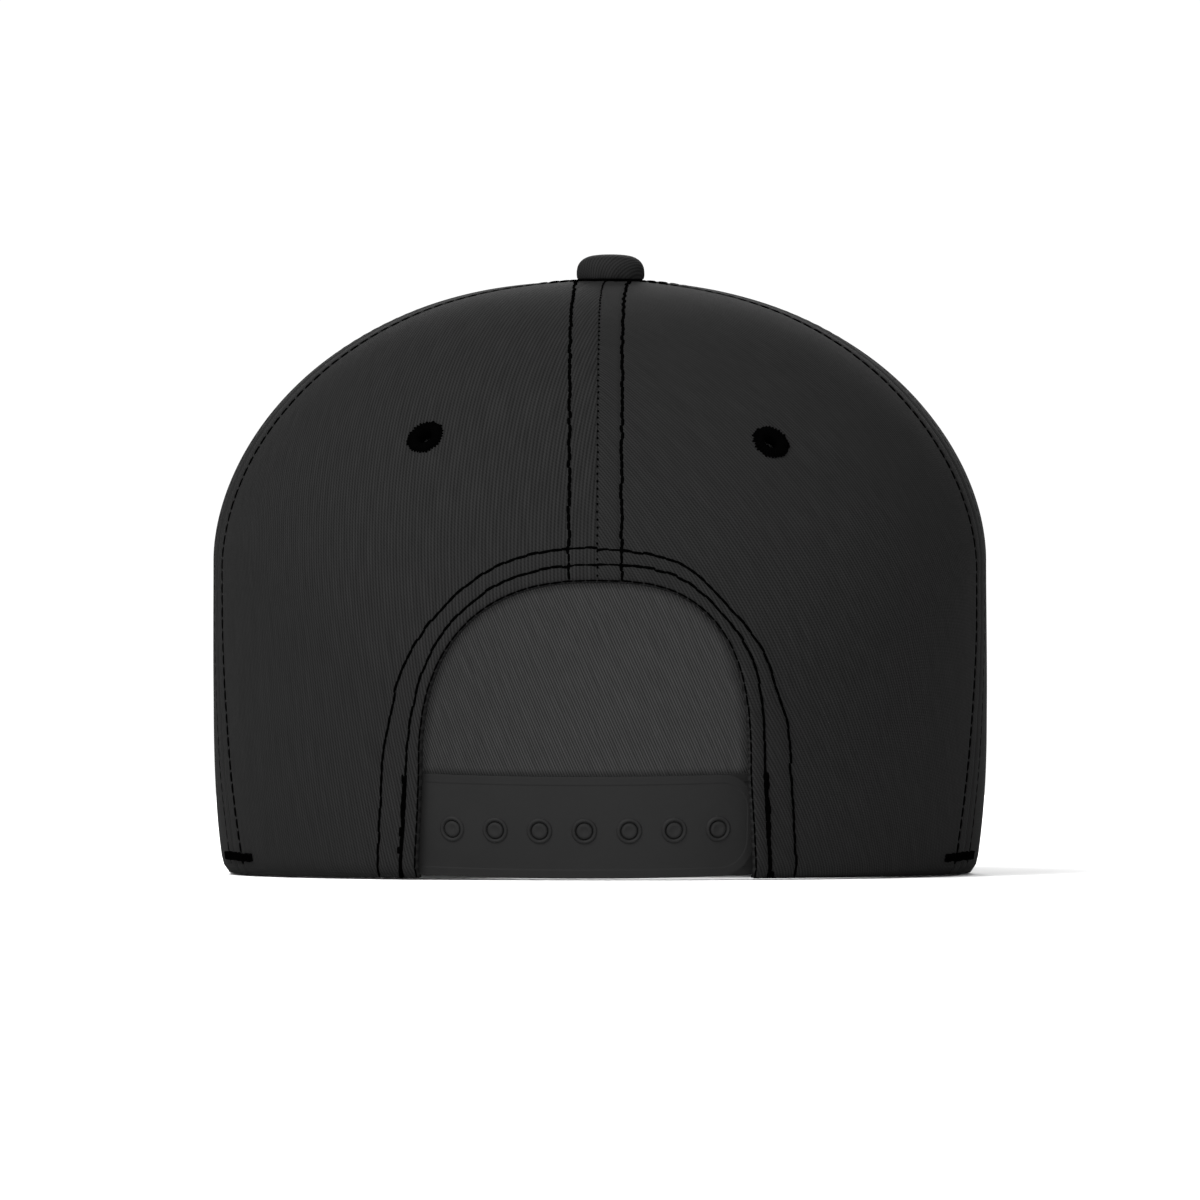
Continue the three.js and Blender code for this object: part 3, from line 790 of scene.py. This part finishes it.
bm = bmesh.new()
across, deep = 120, 36
bmesh.ops.create_grid(bm, x_segments=across, y_segments=deep, size=0.5)
stations = [(edge_place(i / across)[0], bill_inner(bill_corner * (1 - 2 * i / across))) for i in range(across + 1)]
weave = bm.verts.layers.float_vector.new("weave")
edge_points = [Vector((x, y, 0)) for x, y in outer_edge[::3]]
for vert in bm.verts:
    outer, inner = stations[round((vert.co.x + 0.5) * across)]
    share = vert.co.y + 0.5
    place = Vector((inner.x, inner.y, 0)).lerp(outer, share)
    vert.co = Vector((place.x, place.y, bill_thickness))
    vert[weave] = ((place.x * 0.97 + place.y * 0.24) / mm, (place.y * 0.97 - place.x * 0.24) / mm, 0)
bmesh.ops.recalc_face_normals(bm, faces=bm.faces)
if sum(face.normal.z for face in bm.faces) < 0:
    bmesh.ops.reverse_faces(bm, faces=bm.faces)
bill = finish("bill_cloth", bm, [twill], ["bill"])
add_modifier(bill, "SOLIDIFY", thickness=bill_thickness - thread_rise, offset=-1)
add_modifier(bill, "BEVEL", width=1.2 * mm, segments=4, limit_method="ANGLE", angle_limit=math.radians(60))

bill_stitching = bmesh.new()
for row in range(bill_rows):
    inset = 4 * mm + row * bill_row_gap
    path = []
    for i in range(401):
        place, direction = edge_place(i / 400)
        point = place + Vector((direction.y, -direction.x, 0)) * inset
        clear = min((point - other).length for other in edge_points) > inset - 0.6 * mm
        azimuth = math.degrees(math.atan2(point.x / crown_half_width, (point.y - crown_y) / crown_half_length))
        rim = bill_inner(azimuth)
        outside = (point.xy - Vector((0, crown_y))).length > (rim.xy - Vector((0, crown_y))).length + 0.5 * mm
        if clear and outside and abs(azimuth) < bill_corner:
            path.append((point + Vector((0, 0, bill_thickness + 0.05 * mm)), Vector((0, 0, 1))))
    if len(path) > 10:
        sew_along(bill_stitching, path)
        under = [(Vector((p.x, p.y, thread_rise + 0.03 * mm)), Vector((0, 0, -1))) for p, _ in path]
        sew_along(bill_stitching, under)
finish("bill_stitching", bill_stitching, [thread])


# The sweatband: a strip of woven polyester tape 20 mm high inside the rim, sewn through the panels
# at its lower edge. Its ends step in over the strap's ends.
strap_thickness = 1.3 * mm
clearance = 0.3 * mm


def back_azimuth(x):
    return 180 - math.degrees(math.asin(x / (crown_half_width * side_profile["rim"])))


foot_left = back_azimuth(-arch_left["reach"] - arch_left["foot"])
foot_right = back_azimuth(arch_right["reach"] + arch_right["foot"])
band_right, band_left = foot_right - 3, foot_left + 3 - 360


def woven_tape(name):
    """Woven polyester tape: fine upright ribs 0.7 mm apart with a soft sheen."""
    material = bpy.data.materials.new(name)
    material.use_nodes = True
    tree = material.node_tree
    shader = tree.nodes["Principled BSDF"]
    cloth = add_node(tree, "ShaderNodeUVMap", uv_map="cloth").outputs["UV"]
    ribs = add_node(tree, "ShaderNodeTexWave", {"Vector": cloth}, bands_direction="X", Scale=0.314 / 0.7,
                    Distortion=0.4, Detail=1.0)
    picks = add_node(tree, "ShaderNodeTexWave", {"Vector": cloth}, bands_direction="Y", Scale=0.314 / 0.5,
                     Distortion=0.4, Detail=1.0)
    weave = add_node(tree, "ShaderNodeMix", {"A": ribs.outputs["Fac"], "B": picks.outputs["Fac"]},
                     data_type="FLOAT", Factor=0.35)
    # The colour follows the weave's height, lighter on the ribs and darker in the valleys: painted shade.
    shade = add_node(tree, "ShaderNodeMix", {"Factor": weave.outputs["Result"]}, data_type="RGBA")
    shade.inputs["A"].default_value = linear("#141414")
    shade.inputs["B"].default_value = linear("#262626")
    tree.links.new(shade.outputs["Result"], shader.inputs["Base Color"])
    bump = add_node(tree, "ShaderNodeBump", {"Height": weave.outputs["Result"]}, Distance=0.1 * mm, Strength=0.7)
    tree.links.new(bump.outputs["Normal"], shader.inputs["Normal"])
    shader.inputs["Roughness"].default_value = 0.75
    shader.inputs["Sheen Weight"].default_value = 0.15
    return material


def flat_inset(azimuth, height, inset):
    t = rise_to(azimuth, height)
    point = pattern_point(azimuth, t) - crown_normal(azimuth, t) * inset
    return Vector((point.x, point.y, height))


bm = bmesh.new()
around, high = 200, 8
bmesh.ops.create_grid(bm, x_segments=around, y_segments=high, size=0.5)
weave = bm.verts.layers.float_vector.new("weave")
for vert in bm.verts:
    azimuth = band_right + (band_left - band_right) * (vert.co.x + 0.5)
    to_end = min(band_right - azimuth, azimuth - band_left)
    step = (strap_thickness + 2 * clearance) * (1 - smooth(to_end, 9, 14))
    share = vert.co.y + 0.5
    height = 0.6 * mm + share * 20 * mm
    swell = 0.5 * mm * math.sin(math.pi * share) + 0.25 * mm * noise.noise(Vector((azimuth * 0.15, share, 0)))
    vert.co = flat_inset(azimuth, height, wall + clearance + step + 0.4 * mm + swell)
    vert[weave] = (azimuth * 1.55, share * 20, 0)
bmesh.ops.reverse_faces(bm, faces=bm.faces)
band = finish("sweatband_tape", bm, [woven_tape("woven_polyester_tape")], ["sweatband"])
add_modifier(band, "SOLIDIFY", thickness=0.8 * mm, offset=-1)
add_modifier(band, "BEVEL", width=0.3 * mm, segments=2, limit_method="ANGLE", angle_limit=math.radians(60))

band_stitching = bmesh.new()
path = []
for i in range(241):
    azimuth = band_right + (band_left - band_right) * (0.004 + 0.992 * i / 240)
    to_end = min(band_right - azimuth, azimuth - band_left)
    step = (strap_thickness + 2 * clearance) * (1 - smooth(to_end, 9, 14))
    point = flat_inset(azimuth, 3.4 * mm, wall + clearance + step + 1.5 * mm)
    path.append((point, -crown_normal(azimuth, 0.02)))
sew_along(band_stitching, path)
finish("sweatband_stitching", band_stitching, [thread])


# The snap strap: two strips of soft black PE moulded with a raised border, the top one from the
# left with seven ringed holes, the lower one with seven studs that snap through them. Their outer
# ends are sewn in behind the panels on both sides of the arch.
strap_height = 22.6 * mm
strap_lift = 0.2 * mm
strap_tab = 12 * mm
strap_bow = 2.4 * mm
strap_end = 1 * mm
strap_rise = 0.8 * mm
strap_corner = 8 * mm
stud_pitch = 10 * mm
stud_height = 10.7 * mm
studs = [(i - 3) * stud_pitch for i in range(7)]
strap_middle, strap_span = (foot_left + foot_right) / 2, (foot_left - foot_right) / 2


def strap_at(azimuth, height, out):
    share = (azimuth - strap_middle) / strap_span
    bow = strap_bow * max(0, 1 - share**2) ** 2
    height += strap_rise * min(1.2, share**2)
    t = rise_to(azimuth, height)
    normal = crown_normal(azimuth, t)
    normal = Vector((normal.x, normal.y, 0)).normalized()
    point = pattern_point(azimuth, t) - normal * (wall + clearance + bow - out)
    return Vector((point.x, point.y, height))


strap_table, last = [], None
for i in range(121):
    azimuth = strap_middle + strap_span * 1.8 - i / 120 * strap_span * 3.6
    point = strap_at(azimuth, strap_height / 2 + strap_lift, 0)
    strap_table.append((azimuth, (strap_table[-1][1] + (point - last).length) if last else 0.0))
    last = point
halfway = strap_table[60][1]
strap_table = [(azimuth, length - halfway) for azimuth, length in strap_table]


def strap_azimuth(along):
    for (a, low), (b, high) in zip(strap_table, strap_table[1:]):
        if high >= along:
            return a + (b - a) * (along - low) / (high - low)
    return strap_table[-1][0]


foot_left_length = next(length for azimuth, length in strap_table if azimuth <= foot_left)
foot_right_length = next(length for azimuth, length in strap_table if azimuth <= foot_right)


def bend_strap(bm):
    """Bends a flat strap, drawn as length, height and depth, round the back of the cap."""
    for vert in bm.verts:
        along, height, out = vert.co
        vert.co = strap_at(strap_azimuth(along), height, out)


def moulded_pe(name):
    """Soft moulded polyethylene: satin, a faint pebble from the mould, cloudy in tone and roughness,
    and a border moulded 2 mm wide round the strip."""
    material = bpy.data.materials.new(name)
    material.use_nodes = True
    tree = material.node_tree
    shader = tree.nodes["Principled BSDF"]
    place = add_node(tree, "ShaderNodeTexCoord").outputs["Object"]
    pebble = add_node(tree, "ShaderNodeTexNoise", {"Vector": place}, Scale=1600.0, Detail=2.0)
    cloudy = add_node(tree, "ShaderNodeTexNoise", {"Vector": place}, Scale=90.0, Detail=4.0)
    inset = add_node(tree, "ShaderNodeAttribute", attribute_name="to_border").outputs["Fac"]
    border = add_node(tree, "ShaderNodeMapRange", {"Value": inset}, interpolation_type="SMOOTHSTEP",
                      From_Min=1.7, From_Max=2.1, To_Min=1.0, To_Max=0.0)
    shade = add_node(tree, "ShaderNodeMix", {"Factor": cloudy.outputs["Fac"]}, data_type="RGBA")
    shade.inputs["A"].default_value = linear("#0f0f0f")
    shade.inputs["B"].default_value = linear("#141414")
    tree.links.new(shade.outputs["Result"], shader.inputs["Base Color"])
    fine = add_node(tree, "ShaderNodeBump", {"Height": pebble.outputs["Fac"]}, Distance=0.02 * mm, Strength=0.5)
    step = add_node(tree, "ShaderNodeBump", {"Height": border.outputs["Result"], "Normal": fine.outputs["Normal"]},
                    Distance=0.09 * mm, Strength=1.0)
    tree.links.new(step.outputs["Normal"], shader.inputs["Normal"])
    rough = add_node(tree, "ShaderNodeMapRange", {"Value": cloudy.outputs["Fac"]}, To_Min=0.58, To_Max=0.7)
    tree.links.new(rough.outputs["Result"], shader.inputs["Roughness"])
    shader.inputs["Specular IOR Level"].default_value = 0.05
    return material


strap_plastic = moulded_pe("moulded_polyethylene")


def to_border(along, height, start, end, free_end):
    """Millimetres from a place on a strip to its edge, the free end being rounded."""
    middle = strap_lift + strap_height / 2
    up = strap_height / 2 - abs(height - middle)
    left = (end - along) if free_end > 0 else (along - start)
    if left < strap_corner and up < strap_corner:
        return (strap_corner - math.hypot(strap_corner - left, strap_corner - up)) / mm
    return min(up, left) / mm


def mould_strip(name, start, end, free_end, drop, node, bores=()):
    """A flat strip with one rounded end, bored if it has holes, then bent to shape."""
    columns, rows = 200, 48
    bm = bmesh.new()
    bmesh.ops.create_grid(bm, x_segments=columns, y_segments=rows, size=0.5)
    half = strap_height / 2
    for vert in bm.verts:
        along = start + (end - start) * (vert.co.x + 0.5)
        left = (end - along) if free_end > 0 else (along - start)
        cut = max(0, strap_corner - left)
        rounding = strap_corner - math.sqrt(max(0, strap_corner**2 - cut**2))
        vert.co = Vector((along, strap_lift + half + vert.co.y * 2 * (half - rounding), 0))
    if bores:
        bmesh.ops.delete(bm, geom=[v for v in bm.verts for b in bores
                                   if math.hypot(v.co.x - b, v.co.y - stud_height) < 2.12 * mm], context="VERTS")
    bmesh.ops.reverse_faces(bm, faces=[f for f in bm.faces if f.normal.z < 0])
    layer = bm.verts.layers.float.new("to_border")
    for vert in bm.verts:
        vert[layer] = to_border(vert.co.x, vert.co.y, start, end, free_end)
        vert.co.z = -drop(vert.co.x)
    bend_strap(bm)
    strip = finish(name, bm, [strap_plastic], [node])
    add_modifier(strip, "SOLIDIFY", thickness=strap_thickness, offset=-1)
    add_modifier(strip, "BEVEL", width=0.3 * mm, segments=3, limit_method="ANGLE", angle_limit=math.radians(60))
    return strip


top_end = foot_right_length - strap_end
layer_depth = strap_thickness + clearance
mould_strip("snap_strap_with_holes", foot_left_length - strap_tab, top_end, 1, lambda along: 0,
            "strap_with_holes", studs)
mould_strip("snap_strap_with_studs", studs[0] - 8 * mm, foot_right_length + strap_tab, -1,
            lambda along: layer_depth * (1 - smooth(along, top_end + 1 * mm, top_end + 5.8 * mm)), "strap_with_studs")

# Ring and stud sections, as radius and height over the top strip's face, in millimetres.
ring_section = [(1.9, -1.3), (1.88, -0.3), (1.96, 0.0), (2.1, 0.2), (2.26, 0.33), (2.45, 0.36), (2.66, 0.26),
                (2.9, 0.0), (2.95, -0.9), (2.7, -1.3)]
stud_section = [(0, 0.12), (0.6, 0.14), (1.0, 0.26), (1.35, 0.28), (1.62, 0.18), (1.8, 0), (1.85, -0.4), (1.5, -0.8),
                (1.3, -2.2), (0, -2.2)]
for name, section, closed in (("strap_rings", ring_section, True), ("strap_studs", stud_section, False)):
    bm = bmesh.new()
    for along in studs:
        points = [bm.verts.new((along + radius * mm, stud_height, out * mm)) for radius, out in section]
        edges = [bm.edges.new(pair) for pair in zip(points, points[1:])]
        if closed:
            edges.append(bm.edges.new((points[-1], points[0])))
        bmesh.ops.spin(bm, geom=points + edges, cent=(along, stud_height, 0), axis=(0, 0, 1),
                       angle=math.tau, steps=40, use_merge=True)
    bmesh.ops.remove_doubles(bm, verts=bm.verts, dist=1e-6)
    layer = bm.verts.layers.float.new("to_border")
    for vert in bm.verts:
        vert[layer] = 9
    bend_strap(bm)
    bmesh.ops.recalc_face_normals(bm, faces=bm.faces)
    finish(name, bm, [strap_plastic])


# The photograph's set: a white table and background, a large soft light high on the left behind
# the camera, a low one behind the lens that reaches in through the arch, a weak one on the bill's
# side, and a long lens level with the middle of the cap.
def white_surface(name):
    material = bpy.data.materials.new(name)
    material.use_nodes = True
    shader = material.node_tree.nodes["Principled BSDF"]
    shader.inputs["Base Color"].default_value = linear("#d0d0d0")
    shader.inputs["Roughness"].default_value = 0.9
    shader.inputs["Specular IOR Level"].default_value = 0.1
    return material


bm = bmesh.new()
bmesh.ops.create_grid(bm, x_segments=1, y_segments=1, size=2.5)
floor_mesh = bpy.data.meshes.new("table")
bm.to_mesh(floor_mesh)
bm.free()
floor_mesh.materials.append(white_surface("matt_white_table"))
table = bpy.data.objects.new("table", floor_mesh)
table.location = (0, -1, -0.0002)
bpy.context.scene.collection.objects.link(table)
table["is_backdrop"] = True

world = bpy.data.worlds.new("white_room")
world.use_nodes = True
world.node_tree.nodes["Background"].inputs["Color"].default_value = (1, 1, 1, 1)
world.node_tree.nodes["Background"].inputs["Strength"].default_value = 1.05
bpy.context.scene.world = world


def soft_light(name, place, target, wide, high, power):
    light = bpy.data.lights.new(name, "AREA")
    light.shape = "RECTANGLE"
    light.size, light.size_y, light.energy = wide, high, power
    lamp = bpy.data.objects.new(name, light)
    lamp.location = place
    lamp.rotation_euler = (Vector(target) - Vector(place)).to_track_quat("-Z", "Y").to_euler()
    bpy.context.scene.collection.objects.link(lamp)


soft_light("high_softbox", (-1.2, -1.4, 2.4), (0, 0, 0.06), 1.4, 1.4, 186)
soft_light("bill_side_fill", (0.15, 3.1, 1.5), (0, 0, 0.06), 1.2, 1.2, 100)
soft_light("lens_light", (0.0295, -4.2, 0.0625), (0, 0, 0.06), 0.09, 0.07, 148)

camera_distance = 3.8
camera_height = 62.1 * mm
turn = math.radians(0.4)
lens = bpy.data.cameras.new("long_lens")
lens.sensor_fit = "HORIZONTAL"
lens.sensor_width = 36
lens.lens = 36 * camera_distance / (1200 * 0.2275 * mm)
camera = bpy.data.objects.new("camera", lens)
camera.location = (camera_distance * math.sin(turn), crown_y - camera_distance * math.cos(turn), camera_height)
camera.rotation_euler = (math.pi / 2, 0, turn)
bpy.context.scene.collection.objects.link(camera)
bpy.context.scene.camera = camera
bpy.context.scene.view_settings.view_transform = "Standard"

low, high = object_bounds()
